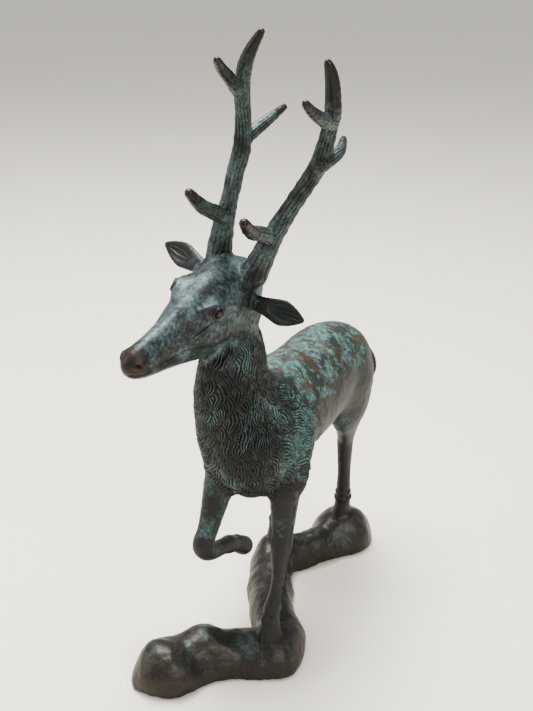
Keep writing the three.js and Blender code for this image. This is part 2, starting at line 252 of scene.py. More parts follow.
def earHollow(ear):
    # a leaf-shaped dish on the side of the ear that faces forwards
    root, middle, tip = [np.array(ear["lines"][0][k][:3]) for k in (0, 3, -1)]
    along = unit(tip - root)
    across = unit(earSides - along * (earSides @ along))
    face = np.cross(along, across)
    face = face if face[1] < 0 else -face
    return {"at": middle + 2.6 * along + 2.3 * face, "size": [10.5, 5.2, 2.5], "dig": True, "blend": 0.8,
            "turn": np.array([along, across, face])}


for ear in (leftEar, rightEar):
    ear["blobs"].append(earHollow(ear))

leftAntler = {
    "voxel": 0.8, "blend": 4.0, "side": headTurn[0],
    "lines": [
        roundLine([[5, -51, 262, 7.4], [6.5, -49.5, 265.9, 7], [15.5, -49.4, 284.4, 5.6],
                   [24.1, -45.8, 300.6, 4.6], [33.5, -42.2, 317, 4.5], [39.8, -43, 328.3, 4.6],
                   [44.5, -43.7, 345, 4],
                   [49.4, -51.2, 354.1, 4], [50.7, -54.9, 365.4, 3.7], [51, -58.3, 373.5, 3],
                   [50.3, -60.6, 378.6, 1.8]]),
        roundLine([[15, -50, 284, 4.4], [16.9, -62, 290, 4], [17.9, -75.5, 295, 3.6],
                   [20.7, -87.4, 303, 2.7]]),
        roundLine([[42, -44, 326, 3.8], [43.8, -36, 329, 3.3], [43.5, -28, 330.5, 2.8],
                   [40, -17.2, 333.7, 1.9]]),
        roundLine([[47.5, -48, 348, 3.6], [49.7, -62, 352, 3.3], [49.7, -74, 357.6, 2.7],
                   [50.1, -82.2, 362.8, 1.9]]),
    ],
    "blobs": [],
}
rightAntler = {
    "voxel": 0.8, "blend": 4.0, "side": headTurn[0],
    "lines": [
        roundLine([[-17.4, -50, 264, 7.4], [-17.6, -49.5, 270.3, 7], [-13.8, -50.2, 288.8, 5.6],
                   [-10.8, -48.7, 302.7, 4.6], [-8, -46.5, 318.3, 4.5], [-4.5, -47, 328.9, 4.6],
                   [-2.8, -48.2, 345.4, 4], [-0.8, -52.9, 360.3, 4], [2.6, -55.7, 372.8, 3.7],
                   [7.9, -57.7, 382.2, 3], [13, -57.8, 389.8, 1.8]]),
        roundLine([[-12.8, -50, 291, 4.4], [-13, -62, 297.5, 4], [-13, -74, 304, 3.6],
                   [-12.3, -85.4, 313, 2.7]]),
        roundLine([[-3.8, -47, 333.5, 3.8], [-1, -37, 338.5, 3.3], [1.4, -28.5, 342, 2.8],
                   [2.4, -13.7, 346.1, 1.9]]),
        roundLine([[-1.2, -52, 357.5, 3.8], [-1.4, -62, 366, 3.3], [-1.5, -71.6, 373.3, 2.7],
                   [0.5, -78.4, 377.9, 1.9]]),
    ],
    "blobs": [],
}

tail = {
    "voxel": 0.7, "blend": 2.0, "side": sideways,
    "lines": [[[3, 92, 161, 4, 3.2], [7, 100.5, 160, 6, 3.4], [9.5, 105, 152, 6.5, 3],
               [10.5, 106.5, 143, 5.6, 2.6], [10.5, 105, 134, 2.4, 1.6]]],
    "blobs": [],
}

leftForeleg = {
    "voxel": 1.2, "blend": 7.0, "side": sideways,
    "lines": [[[15, -28, 146, 9, 18], [17, -31, 128, 9.5, 15], [18.5, -35, 110, 8, 10.5],
               [20, -39, 94, 6.5, 7.6], [20, -41, 84, 6.4, 7.4], [20, -42.5, 75, 5, 5.8],
               [19.8, -44, 62, 3.8, 4.6],
               [18.8, -46.6, 48, 3.8, 4.6], [18.5, -48.5, 41.5, 5.0, 6.2], [18.7, -50, 37, 4.3, 5.2],
               [19, -51.5, 33, 5.2, 6.4], [19, -53, 24, 6.6, 8.6], [19, -53, 20, 6.8, 8.8]]],
    "blobs": [
        {"at": [25, -27, 129], "size": [4, 6, 12], "blend": 2.5},        # tuft at the elbow
        {"at": [16.2, -55.5, 36], "size": [1.9, 2.2, 3.2], "blend": 0.8},
        {"at": [21.4, -55.5, 36], "size": [1.9, 2.2, 3.2], "blend": 0.8},
        {"at": [19, -62.5, 27], "size": [0.6, 3.4, 6], "dig": True, "blend": 0.5},      # cleft
    ],
}
rightForeleg = {
    "voxel": 1.2, "blend": 7.0, "side": sideways,
    "lines": [[[-15, -38, 144, 9, 16], [-18, -48, 128, 9, 14], [-18, -57, 112, 7.6, 9.5],
               [-18, -65, 98, 6.2, 7.0], [-18, -71, 90, 6.4, 6.4], [-18, -69, 84, 5.8, 5.6],
               [-17.8, -61, 79, 5.2, 5.6], [-18, -48, 74.5, 4.8, 5.3], [-18.4, -41, 71.5, 5.5, 6.0],
               [-18.7, -35.5, 68.5, 4.9, 5.4], [-18.9, -30, 65.5, 5.6, 6.0], [-19, -23, 60, 6.6, 6.2],
               [-19, -21, 58.5, 6.6, 6.2]]],
    "blobs": [
        {"at": [-19, -15.2, 53.6], "size": [12, 12, 5.2], "dig": True, "blend": 1.0,         # flat sole
         "turn": np.array([[1, 0, 0], [0, 0.64, 0.768], unit([0, 0.768, -0.64])])},
        {"at": [-19, -25.5, 68], "size": [0.8, 8, 2.6], "dig": True, "blend": 0.7,
         "turn": np.array([[1, 0, 0], unit([0, 0.768, -0.64]), [0, 0.64, 0.768]])},
    ],
}
leftHindleg = {
    "voxel": 1.2, "blend": 8.0, "side": sideways,
    "lines": [[[12, 72, 148, 10, 22], [11, 74, 128, 10.5, 20], [7, 82, 109, 7.6, 12], [3.5, 88, 95, 5.8, 8],
               [2.4, 89.5, 88, 5.6, 7.4], [2, 91, 66, 4.8, 5.8], [2, 91, 46, 5.0, 5.6],
               [2, 91, 39, 5.4, 6.2], [1.6, 91, 34, 5.4, 6.4], [1, 92, 27, 6.8, 8.8], [1, 92, 20, 7, 9]]],
    "blobs": [
        {"at": [2, 91, 41.5], "size": [6.9, 7.6, 2.2], "blend": 1.2},          # rings at the fetlock
        {"at": [2, 91, 46.5], "size": [6.2, 6.8, 1.6], "blend": 1.0},
    ],
}
rightHindleg = {
    "voxel": 1.2, "blend": 8.0, "side": sideways,
    "lines": [[[-12, 66, 148, 10, 22], [-16, 64, 128, 10.5, 20], [-20, 62, 108, 7.8, 13], [-23, 60, 92, 6, 9],
               [-25, 52, 70, 4.8, 5.8], [-27, 45, 48, 5.0, 5.8], [-27.2, 42, 38, 5.8, 6.6],
               [-27.2, 41.5, 33, 5.6, 6.6], [-27, 41, 26, 6.8, 8.8], [-27, 41, 18, 7, 9]]],
    "blobs": [{"at": [-27.2, 42, 41], "size": [6.6, 7.4, 2.2], "blend": 1.2}],
}

rock = {
    "voxel": 1.6, "blend": 1.6, "side": sideways, "wall": 5.0, "bossRadius": 8.0, "bossFloor": 10.7,
    "lumps": [(1.7, 15.0, 3), (0.35, 6.0, 4)],      # height, size and seed of the rock's unevenness
    "lines": [[[-38, -104, 0, 10, 13], [-29, -98, 0, 19, 25], [-19, -77, 0, 18, 24], [0, -61, 0, 18, 22],
               [16, -50, 0, 20, 21], [15, -32, 0, 17, 24], [-2, -12, 0, 16, 21], [-14, 8, 0, 15.5, 20],
               [-25, 28, 0, 16, 22], [-27, 42, 0, 16, 24], [-16, 56, 0, 15, 22], [-6, 74, 0, 16, 22],
               [0, 92, 0, 20, 26], [3, 102, 0, 17, 21], [4, 107.5, 0, 9, 11]]],
    "blobs": [
        {"at": [-32, -98, 6], "size": [19, 18, 22], "blend": 5},
        {"at": [-17, -75, 8], "size": [15, 16, 20], "blend": 5},
        {"at": [20, -50, 3], "size": [19, 19, 19], "blend": 5},
        {"at": [-29, 40, 6], "size": [15, 15, 20], "blend": 5},
        {"at": [1, 94, 5], "size": [22, 21, 24], "blend": 5},
    ],
}

parts = {
    "body": trunk, "neck_mane": neck, "head": head, "left_foreleg": leftForeleg,
    "right_foreleg": rightForeleg, "left_hindleg": leftHindleg, "right_hindleg": rightHindleg,
    "tail": tail, "left_antler": leftAntler,
    "right_antler": rightAntler, "left_ear": leftEar, "right_ear": rightEar, "base": rock,
}


def partBox(part):
    points = np.array([p for line in part["lines"] for p in line], float)
    reach = points[:, 3:5].max(1)[:, None]
    low, high = (points[:, :3] - reach).min(0), (points[:, :3] + reach).max(0)
    for blob in part["blobs"]:
        if not blob.get("dig"):
            low = np.minimum(low, np.array(blob["at"]) - max(blob["size"]))
            high = np.maximum(high, np.array(blob["at"]) + max(blob["size"]))
    return low, high


def partField(name, axes):
    part = parts[name]
    field = np.full([len(a) for a in axes], farAway, np.float32)
    for line in part["lines"]:
        stations = smoothLine(line)
        for start, end in zip(stations[:-1], stations[1:]):
            addSegment(field, axes, start, end, part["side"], 0.8)
    for blob in part["blobs"]:
        addBlob(field, axes, blob)
    if "lumps" in part:
        grid = np.stack(np.meshgrid(*axes, indexing="ij"), -1)
        for height, size, seed in part["lumps"]:
            field = field + height * latticeNoise(grid, size, seed)
    return field


def meshFromField(field, axes, voxel):
    grid = openvdb.FloatGrid(farAway)
    grid.copyFromArray(np.ascontiguousarray(field, np.float32))
    points, quads = grid.convertToQuads(0.0)
    origin = np.array([a[0] for a in axes])
    return points * voxel + origin, quads


def blenderMesh(name, points, quads):
    mesh = bpy.data.meshes.new(name)
    mesh.vertices.add(len(points))
    mesh.vertices.foreach_set("co", points.astype(np.float32).ravel())
    mesh.loops.add(len(quads) * 4)
    mesh.loops.foreach_set("vertex_index", quads.astype(np.int32).ravel())
    mesh.polygons.add(len(quads))
    mesh.polygons.foreach_set("loop_start", np.arange(0, len(quads) * 4, 4, dtype=np.int32))
    mesh.update(calc_edges=True)
    mesh.validate()
    return mesh


def signedVolume(points, quads):
    a, b, c, d = (points[quads[:, k]] for k in range(4))
    return (np.einsum("ij,ij->i", a, np.cross(b, c)) + np.einsum("ij,ij->i", a, np.cross(c, d))).sum() / 6


def sculptPart(name):
    # the part's share of the whole figure: the smooth union, cut where another part is nearer
    part = parts[name]
    voxel = part["voxel"]
    low, high = partBox(part)
    margin = 4.0
    axes = [np.arange(low[k] - margin, high[k] + margin, voxel, dtype=np.float32) for k in range(3)]
    own = partField(name, axes)
    others = np.full_like(own, farAway)
    whole = None
    for other in parts:
        if other == name:
            field = own
        else:
            otherLow, otherHigh = partBox(parts[other])
            if np.any(otherHigh + farAway < low) or np.any(otherLow - farAway > high):
                continue
            field = partField(other, axes)
            others = np.minimum(others, field - parts[other].get("claim", 0))
        whole = field if whole is None else smoothUnion(whole, field, parts[other]["blend"])
    beyond = (own - part.get("claim", 0) - others) / 2
    overlap = seamOverlap * voxel
    shape = np.maximum(whole + seamSink * smoothStep(-0.1 * voxel, overlap, beyond), beyond - overlap)
    if name == "base":
        shape = np.maximum(shape, -axes[2][None, None, :])
        hollow = own + part["wall"]
        for screw in ("left_fore", "left_hind", "right_hind"):
            # a boss stands in the hollow round each foot screw
            screwLow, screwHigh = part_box(screw + "_foot_screw")
            x = (screwLow.x + screwHigh.x) * mm / 2 - figureShift[0]
            y = (screwLow.y + screwHigh.y) * mm / 2 - figureShift[1]
            boss = np.sqrt((axes[0][:, None, None] - x) ** 2 + (axes[1][None, :, None] - y) ** 2)
            boss = boss - part["bossRadius"]
            boss = np.maximum(boss, part["bossFloor"] - axes[2][None, None, :])
            hollow = np.maximum(hollow, -boss)
        shape = np.maximum(shape, -hollow)
    points, quads = meshFromField(shape, axes, voxel)
    if signedVolume(points, quads) < 0:
        quads = quads[:, ::-1]
    return points, quads


def subdivided(mesh):
    thing = bpy.data.objects.new("working", mesh)
    bpy.context.scene.collection.objects.link(thing)
    thing.modifiers.new("finer", "SUBSURF").levels = 1
    graph = bpy.context.evaluated_depsgraph_get()
    finer = bpy.data.meshes.new_from_object(thing.evaluated_get(graph))
    bpy.data.objects.remove(thing)
    bpy.data.meshes.remove(mesh)
    return finer


def vertexPoints(mesh):
    points = np.empty(len(mesh.vertices) * 3, np.float32)
    mesh.vertices.foreach_get("co", points)
    return points.reshape(-1, 3).astype(float)


def vertexNormals(mesh):
    normals = np.empty(len(mesh.vertices) * 3, np.float32)
    mesh.vertex_normals.foreach_get("vector", normals)
    return normals.reshape(-1, 3).astype(float)


def meshEdges(mesh):
    edges = np.empty(len(mesh.edges) * 2, np.int32)
    mesh.edges.foreach_get("vertices", edges)
    return edges.reshape(-1, 2)


def averaged(values, edges, rounds):
    count = np.bincount(edges.ravel(), minlength=len(values)).astype(float)
    count[count == 0] = 1
    for _ in range(rounds):
        total = np.stack([np.bincount(edges[:, 0], values[edges[:, 1], k], len(values))
                          + np.bincount(edges[:, 1], values[edges[:, 0], k], len(values))
                          for k in range(3)], 1)
        values = 0.5 * values + 0.5 * total / count[:, None]
    return values


print("sculpting the castings")
castings = {}
for name in parts:
    points, quads = sculptPart(name)
    mesh = subdivided(blenderMesh(name, points, quads))
    castings[name] = mesh
    print("  ", name, len(mesh.vertices), "vertices")


# strokes, eyes, hair and bark are carved into the finished skins
def snapped(tree, path):
    return np.array([tree.find_nearest(Vector(p))[0] for p in path], float)


def strokeOffsets(points, path, width, height):
    # a soft ridge (height > 0) or groove (height < 0) along a path that lies on the skin
    best = np.full(len(points), 1e9)
    low, high = path.min(0) - 3 * width, path.max(0) + 3 * width
    near = np.all((points > low) & (points < high), axis=1)
    local = points[near]
    nearest = np.full(len(local), 1e9)
    for a, b in zip(path[:-1], path[1:]):
        along = b - a
        t = np.clip((local - a) @ along / max(along @ along, 1e-9), 0, 1)
        nearest = np.minimum(nearest, np.linalg.norm(local - a - t[:, None] * along, axis=1))
    best[near] = nearest
    return height * np.exp(-(best / width) ** 2)


def bothSides(row):
    return [row, [[-p[0], p[1], p[2]] for p in row]]


# lines on one side of the face, in head coordinates: left, forward and up from the poll
faceLines = [
    # mouth
    {"path": [[1.5, 78, -23], [5.5, 75.5, -24.5], [7.4, 69, -26], [8.4, 60, -27], [9.8, 52, -27.5],
              [11, 47, -27]], "width": 0.8, "height": -0.95},
    # brow, tear line and lower lid
    {"path": [[9, 33, -10], [12, 28, -8], [15.5, 22, -8.5], [17.5, 14, -12]], "width": 2.3, "height": 1.3},
    {"path": [[14, 27, -17], [13, 33, -19], [11.5, 41, -21]], "width": 1.2, "height": -1.0},
    {"path": [[17, 27, -20.5], [18.5, 19, -22], [19, 12, -20]], "width": 1.5, "height": 0.7},
    # side of the bridge, and the hollow under the eye
    {"path": [[4, 68, -12.5], [5.5, 58, -14], [7.5, 47, -16]], "width": 1.8, "height": -0.5},
    {"path": [[13.5, 40, -30], [15, 30, -34], [17.5, 18, -36]], "width": 2.2, "height": -0.6},
]


# rings round a spot on the head, each a radius, width and height in mm, stretched ahead and across
eye = {"at": (16.9, 26.2, -11), "stretch": (1.12, 1.0), "reach": 5, "ball": (2.0, 1.4),
       "rings": [(2.2, 0.35, -0.6), (3.0, 0.5, 1.35), (0, 4.2, -1.1)]}          # groove, lid, socket
nostril = {"at": (5.4, 76.5, -18), "stretch": (0.8, 1.25), "reach": 4,
           "rings": [(0, 1.15, -1.3), (2.1, 0.5, 0.45)]}                        # hole, rim


def ringOffsets(points, spot, centre, normal, forward):
    across = unit(np.cross(normal, forward))
    ahead = np.cross(across, normal)
    q = points - centre
    r = np.sqrt(((q @ ahead) / spot["stretch"][0]) ** 2 + ((q @ across) / spot["stretch"][1]) ** 2)
    r[np.abs(q @ normal) > spot["reach"]] = 99      # far from the spot, so left alone
    offsets = sum(height * np.exp(-((r - radius) / width) ** 2) for radius, width, height in spot["rings"])
    if "ball" in spot:
        radius, height = spot["ball"]
        offsets = offsets + height * np.sqrt(np.clip(1 - (r / radius) ** 2, 0, 1))
    return offsets


def treeOf(points, mesh):
    faces = np.empty(len(mesh.polygons) * 4, np.int32)
    mesh.loops.foreach_get("vertex_index", faces)
    return BVHTree.FromPolygons([tuple(p) for p in points], faces.reshape(-1, 4).tolist())


print("carving the face")
skin = {name: vertexPoints(mesh) for name, mesh in castings.items()}
outward = {name: vertexNormals(mesh) for name, mesh in castings.items()}
carved = {name: np.zeros(len(points)) for name, points in skin.items()}

faceTree = treeOf(skin["head"], castings["head"])
for line in faceLines:
    for row in bothSides(line["path"]):
        path = snapped(faceTree, [onHead(*p) for p in smoothLine(row)])
        carved["head"] += strokeOffsets(skin["head"], path, line["width"], line["height"])
for spot, forward in ((eye, headTurn[1]), (nostril, headTurn[2])):
    for [(left, ahead, up)] in bothSides([spot["at"]]):
        centre, normal = faceTree.find_nearest(Vector(onHead(left, ahead, up)))[:2]
        carved["head"] += ringOffsets(skin["head"], spot, np.array(centre), np.array(normal), forward)

# bark on the antlers: lengthwise ridges that wander a little, fading to polished tips
barkLook = {"ridges": 15, "height": 0.34, "wander": 1.6, "pits": 0.25, "smoothFrom": 0.72, "smoothAt": 0.97}


def chainCoords(points, lines):
    # at the nearest of several centre lines: the angle round it, how far along, and its radius there
    best = np.full(len(points), 1e9)
    angle, run, thick = np.zeros(len(points)), np.zeros(len(points)), np.ones(len(points))
    beam = smoothLine(lines[0])
    for line in lines:
        stations = smoothLine(line)
        # a tine counts on from where it leaves the beam
        begin = np.argmin(np.linalg.norm(beam[:, :3] - stations[0, :3], axis=1)) / (len(beam) - 1)
        total = np.linalg.norm(np.diff(stations[:, :3], axis=0), axis=1).sum()
        passed = 0.0
        for a, b in zip(stations[:-1], stations[1:]):
            along = b[:3] - a[:3]
            length = np.linalg.norm(along)
            ahead = along / length
            across = unit(headTurn[0] - ahead * (headTurn[0] @ ahead))
            above = np.cross(across, ahead)
            q = points - a[:3]
            t = np.clip(q @ ahead / length, 0, 1)
            q = q - t[:, None] * along
            radius = a[3] + (b[3] - a[3]) * t
            d = np.linalg.norm(q, axis=1) / radius
            closer = d < best
            best = np.where(closer, d, best)
            angle = np.where(closer, np.arctan2(q @ above, q @ across), angle)
            run = np.where(closer, begin + (1 - begin) * (passed + t * length) / total, run)
            thick = np.where(closer, radius, thick)
            passed += length
    return angle, run, thick


for name in ("left_antler", "right_antler"):
    points = skin[name]
    angle, run, thick = chainCoords(points, parts[name]["lines"])
    wander = barkLook["wander"] * latticeNoise(points, 16.0, 21) + 0.7 * latticeNoise(points, 5.0, 22)
    wave = np.cos(angle * barkLook["ridges"] + wander * 2)
    ridge = np.sign(wave) * np.abs(wave) ** 0.8
    patchy = 0.55 + 0.45 * latticeNoise(points, 4.0, 23)
    fade = 1 - smoothStep(barkLook["smoothFrom"], barkLook["smoothAt"], run)
    carved[name] += barkLook["height"] * ridge * patchy * fade * np.clip(thick / 4, 0.5, 1)
    carved[name] += barkLook["pits"] * latticeNoise(points, 3.0, 24) * fade

# hair: S-shaped locks traced over the neck, chest and shoulders, each one a bundle of strands
# root spacing, and each lock's length, half width, height, strands, groove depth, bend in radians and wave
hair = {"spacing": 6.0, "length": 27.0, "width": 4.0, "height": 1.6, "strands": 4, "groove": 1.05,
        "curl": 0.62, "wave": 19.0, "tries": 14000, "steps": 18}
maneEdge = {"z": [104, 116, 128, 140, 152, 165, 180, 200, 215, 246],
            "y": [-30, -22, -15, -11, -10, -13, -20, -29, -35, -42]}


def maneDepth(points):
    # how far in front of the mane's back edge a point lies, in mm
    return np.interp(points[:, 2], maneEdge["z"], maneEdge["y"]) - points[:, 1]


def hairFlow(p):
    # the combing direction: down the neck, then back over the shoulders
    flank = float(np.clip((p[1] + 62) / 26, 0, 1))
    back = 0.25 + 1.1 * (1 - smoothStep(150.0, 195.0, p[2])) * flank
    outwards = 0.35 * np.sign(p[0] + 5) * (1 - flank)
    return np.array([outwards * (1 - smoothStep(150.0, 200.0, p[2])), back * (0.35 + 0.65 * flank), -1.0])


# two ribs inside each ear, either side of its middle
earRib = {"offsets": (-1.7, 1.5), "width": 0.6, "height": 0.5}
for name in ("left_ear", "right_ear"):
    earTree = treeOf(skin[name], castings[name])
    dish = parts[name]["blobs"][0]
    along, across, face = dish["turn"]
    for offset in earRib["offsets"]:
        rib = snapped(earTree, [dish["at"] + t * along + (offset * (1 - abs(t) / 14)) * across - 1.2 * face
                                for t in np.linspace(-9, 7, 9)])
        carved[name] += strokeOffsets(skin[name], rib, earRib["width"], earRib["height"])

# the casting seam left standing down the outer edge of the standing foreleg
castingSeam = {"path": [[28, -36, 112], [27, -40, 92], [25.5, -44, 66], [24.5, -47, 44]],
               "width": 0.6, "height": 0.5}
legTree = treeOf(skin["left_foreleg"], castings["left_foreleg"])
seam = snapped(legTree, smoothLine(castingSeam["path"]))
carved["left_foreleg"] += strokeOffsets(skin["left_foreleg"], seam, castingSeam["width"],
                                        castingSeam["height"])

print("combing the mane")
hairParts = ["neck_mane", "body", "left_foreleg"]
trees = {name: treeOf(skin[name], castings[name]) for name in hairParts}


def onSkin(p):
    hits = [trees[name].find_nearest(Vector(p)) for name in hairParts]
    hits = [h for h in hits if h[0] is not None]
    # the outermost skin near the point, so seams inside the figure don't catch the comb
    hit = min(hits, key=lambda h: h[3])
    return np.array(hit[0]), np.array(hit[1])


seeds = []
for name in hairParts:
    points = skin[name]
    depth = maneDepth(points)
    lowest = {"neck_mane": 112, "body": 117, "left_foreleg": 124}[name]
    allowed = np.where((depth > 3) & (points[:, 2] > lowest) & (points[:, 2] < 247))[0]
    tries = min(len(allowed), hair["tries"] // (1 if name == "neck_mane" else 3))
    seeds.append(points[rng.choice(allowed, tries, replace=False)])
candidates = np.concatenate(seeds)
roots = [candidates[0]]
for p in candidates:
    if np.min(((np.array(roots) - p) ** 2).sum(axis=1)) > hair["spacing"] ** 2:
        roots.append(p)
roots.sort(key=lambda p: p[2] + rng.uniform(-4, 4))
phases = latticeNoise(np.array(roots), 40.0, 31) * 2.6
locks = []
for root, phase in zip(roots, phases):
    steps = hair["steps"]
    length = hair["length"] * rng.uniform(0.75, 1.2)
    size = rng.uniform(0.8, 1.15)
    phase += rng.uniform(-0.4, 0.4)
    p, path, sides = np.array(root), [], []
    for k in range(steps):
        p, normal = onSkin(p)
        flow = hairFlow(p)
        flow = unit(flow - normal * (flow @ normal))
        turn = hair["curl"] * math.sin(2 * math.pi * k * length / steps / hair["wave"] + phase)
        flow = unit(flow * math.cos(turn) + np.cross(normal, flow) * math.sin(turn))
        path.append(p)
        sides.append(np.cross(normal, flow))
        p = p + flow * length / steps
    locks.append((np.array(path), np.array(sides), size))
print("  ", len(locks), "locks")

for name in hairParts:
    points = skin[name]
    depth = maneDepth(points)
    height = np.zeros(len(points))
    covered = np.zeros(len(points))
    for path, sides, size in locks:
        reach = hair["width"] * size + 0.5
        near = np.where(np.all((points > path.min(0) - reach) & (points < path.max(0) + reach), axis=1))[0]
        if not len(near):
            continue
        local = points[near]
        bestD = np.full(len(near), 1e9)
        run, across = np.zeros(len(near)), np.zeros(len(near))
        for k in range(len(path) - 1):
            along = path[k + 1] - path[k]
            t = np.clip((local - path[k]) @ along / (along @ along + 1e-9), 0, 1)
            q = local - path[k] - t[:, None] * along
            d = np.einsum("ij,ij->i", q, q)
            closer = d < bestD
            bestD[closer] = d[closer]
            run[closer] = (k + t[closer]) / (len(path) - 1)
            across[closer] = (q @ sides[k])[closer]
        width = hair["width"] * size * (smoothStep(-0.15, 0.3, run) * (1 - 0.85 * smoothStep(0.45, 1.0, run)))
        tau = across / np.maximum(width, 0.15)
        inside = (np.abs(tau) < 1) & (bestD < reach ** 2)
        ends = smoothStep(-0.06, 0.06, run) * (1 - smoothStep(0.93, 1.0, run))
        strand = np.abs(np.cos(math.pi * hair["strands"] * tau / 2))
        lock = hair["height"] * (0.2 + 0.8 * np.sqrt(np.clip(1 - tau ** 2, 0, 1))) * (0.5 + 0.5 * run)
        lock = lock - hair["groove"] * (1 - strand) * ends
        cover = (1 - smoothStep(0.82, 1.0, np.abs(tau))) * ends * inside
        height[near] = height[near] * (1 - cover) + lock * cover
        covered[near] = np.maximum(covered[near], cover)
    # the hair thins out towards its lower end and its back edge
    low = 106 if name != "left_foreleg" else 116
    fade = 1
    if name != "neck_mane":
        fade = smoothStep(low - 1.0, low + 14.0, points[:, 2]) * smoothStep(-1.0, 10.0, depth)
    fade = (0.3 + 0.7 * fade) * smoothStep(low - 1.0, low + 1.0, points[:, 2])
    carved[name] += height * (covered > 0) * fade

# the sculpted skins keep faint rings where the sections meet: these are rubbed down above the hooves
rubbing = {"body": 8, "tail": 5, "left_foreleg": 10, "right_foreleg": 8, "left_hindleg": 45,
           "right_hindleg": 45, "left_ear": 6, "right_ear": 6, "head": 3, "base": 14}
for name, rounds in rubbing.items():
    soft = averaged(skin[name], meshEdges(castings[name]), rounds)
    above = smoothStep(52.0, 62.0, skin[name][:, 2]) if "leg" in name else np.ones(len(soft))
    skin[name] = skin[name] + (soft - skin[name]) * above[:, None]

# small wandering unevenness from the wax on the smooth skins, in mm
unevenness = {"body": 0.22, "head": 0.12, "left_foreleg": 0.14, "right_foreleg": 0.14,
              "left_hindleg": 0.14, "right_hindleg": 0.14, "base": 0.3, "tail": 0.1}
for name, amount in unevenness.items():
    carved[name] += amount * latticeNoise(skin[name], 5.0, 41)
    carved[name] += 0.4 * amount * latticeNoise(skin[name], 1.9, 42)


def spotWeight(points, centre, size):
    return np.exp(-(np.linalg.norm(points - np.array(centre, float), axis=1) / size) ** 2)


def patinaZones(name, points, normals):
    # where the copper salts gather (green, with painted light from above: paler on faces turned up, darker on
    # faces turned down), where they turned ochre, and where hands have worn the skin
    green, ochre, wear = np.zeros(len(points)), np.full(len(points), -0.2), np.zeros(len(points))
    # up, the tilt of each face, paints light from above into the green: faces turned up paler, faces turned
    # down darker
    up, z, y = normals[:, 2], points[:, 2], points[:, 1]
    shoulder = 1 - smoothStep(150.0, 195.0, z)
    maneGreen = -0.1 + 0.13 * shoulder * smoothStep(-62.0, -38.0, y) + 0.02 * up
    if name in ("body", "tail"):
        back = smoothStep(140.0, 178.0, z)
        green = -0.2 + 0.19 * back + 0.03 * up - 0.05 * smoothStep(60.0, 90.0, y)
        ochre = -0.14 + 0.12 * back
        mane = smoothStep(-6.0, 3.0, maneDepth(points))
        green, ochre = green + (maneGreen - green) * mane, ochre - 0.1 * mane
    elif name == "neck_mane":
        green = maneGreen
        ochre = np.full(len(points), -0.09)
    elif name == "head":
        local = (points - headFrame["poll"]) @ headTurn.T
        nose = smoothStep(66.0, 77.0, local[:, 1])
        streak = np.exp(-(local[:, 0] / 2.6) ** 2) * smoothStep(36.0, 44.0, local[:, 1]) * (local[:, 2] > -14)
        # round the eyes the skin is made browner and darker, with the colour of rubbed metal
        sockets = sum(spotWeight(points, onHead(*row[0]), 5.5) for row in bothSides([eye["at"]]))
        wear = 0.6 * nose + 0.3 * streak + 0.42 * sockets
        green = -0.02 + 0.02 * up - 0.25 * nose - 0.12 * sockets
        ochre = np.full(len(points), -0.13)
    elif "ear" in name:
        ear = parts[name]
        dish = ear["blobs"][0]
        inner = np.clip(normals @ dish["turn"][2], 0, 1) * spotWeight(points, dish["at"], 16)
        wear, green = 0.45 * inner, -0.05 - 0.2 * inner
    elif "antler" in name:
        run = chainCoords(points, parts[name]["lines"])[1]
        wear, green = 0.5 * smoothStep(0.84, 0.98, run), 0.015 - 0.2 * smoothStep(0.8, 0.95, run)
    elif "leg" in name:
        high = smoothStep(60.0, 120.0, z)
        green = -0.1 + 0.07 * high + 0.02 * up
        wear = 0.45 * spotWeight(points, (-18.0, -76.0, 88.0), 8) + 0.25 * (1 - smoothStep(33.0, 45.0, z))
        ochre = np.full(len(points), -0.12)
    elif name == "base":
        green = -0.07 + 0.06 * up
        ochre = np.full(len(points), -0.16)
    return green, ochre, wear


print("finishing the skins")
for name, mesh in castings.items():
    points = skin[name] + outward[name] * carved[name][:, None]
    if name == "base":
        points[:, 2] = np.maximum(points[:, 2], 0)
    placed = (points + figureShift) / mm
    mesh.vertices.foreach_set("co", placed.astype(np.float32).ravel())
    mesh.update()
    edges = meshEdges(mesh)
    normals = vertexNormals(mesh)
    # how far the skin stands above its smoothed self: a few rounds give fine relief, many give broad relief
    relief = []
    for rounds, scale in ((3, 0.12), (16, 0.5)):
        soft = averaged(points, edges, rounds)
        relief.append(np.einsum("ij,ij->i", points - soft, normals) / scale)
    green, ochre, wear = patinaZones(name, points, normals)
    for label, values in (("fineRelief", relief[0]), ("broadRelief", relief[1]), ("greenZone", green),
                          ("ochreZone", ochre), ("wearZone", wear)):
        layer = mesh.attributes.new(label, "FLOAT", "POINT")
        layer.data.foreach_set("value", np.clip(values, -2, 2).astype(np.float32))
    mesh.shade_smooth()


def toLinear(code):
    values = [int(code[i:i + 2], 16) / 255 for i in (1, 3, 5)]
    return [v / 12.92 if v <= 0.04045 else ((v + 0.055) / 1.055) ** 2.4 for v in values] + [1.0]


def addNode(material, kind, settings=None, inputs=None, output=0):
    # settings are the node's own properties; an input, by name or number, is linked or set to a value
    new = material.node_tree.nodes.new(kind)
    for key, value in (settings or {}).items():
        setattr(new, key, value)
    for key, value in (inputs or {}).items():
        if isinstance(value, bpy.types.NodeSocket):
            material.node_tree.links.new(value, new.inputs[key])
        else:
            new.inputs[key].default_value = value
    return new.outputs[output] if new.outputs else None


def clearMaterial(name):
    material = bpy.data.materials.new(name)
    material.use_nodes = True
    material.node_tree.nodes.clear()
    return material


# settings used by many nodes: sums, products, a * b + c, and a mix of two colours
added, less, times = {"operation": "ADD"}, {"operation": "SUBTRACT"}, {"operation": "MULTIPLY"}
scaledOnto = {"operation": "MULTIPLY_ADD"}
blendColours, underColour, overColour, mixedColour = {"data_type": "RGBA"}, 6, 7, 2


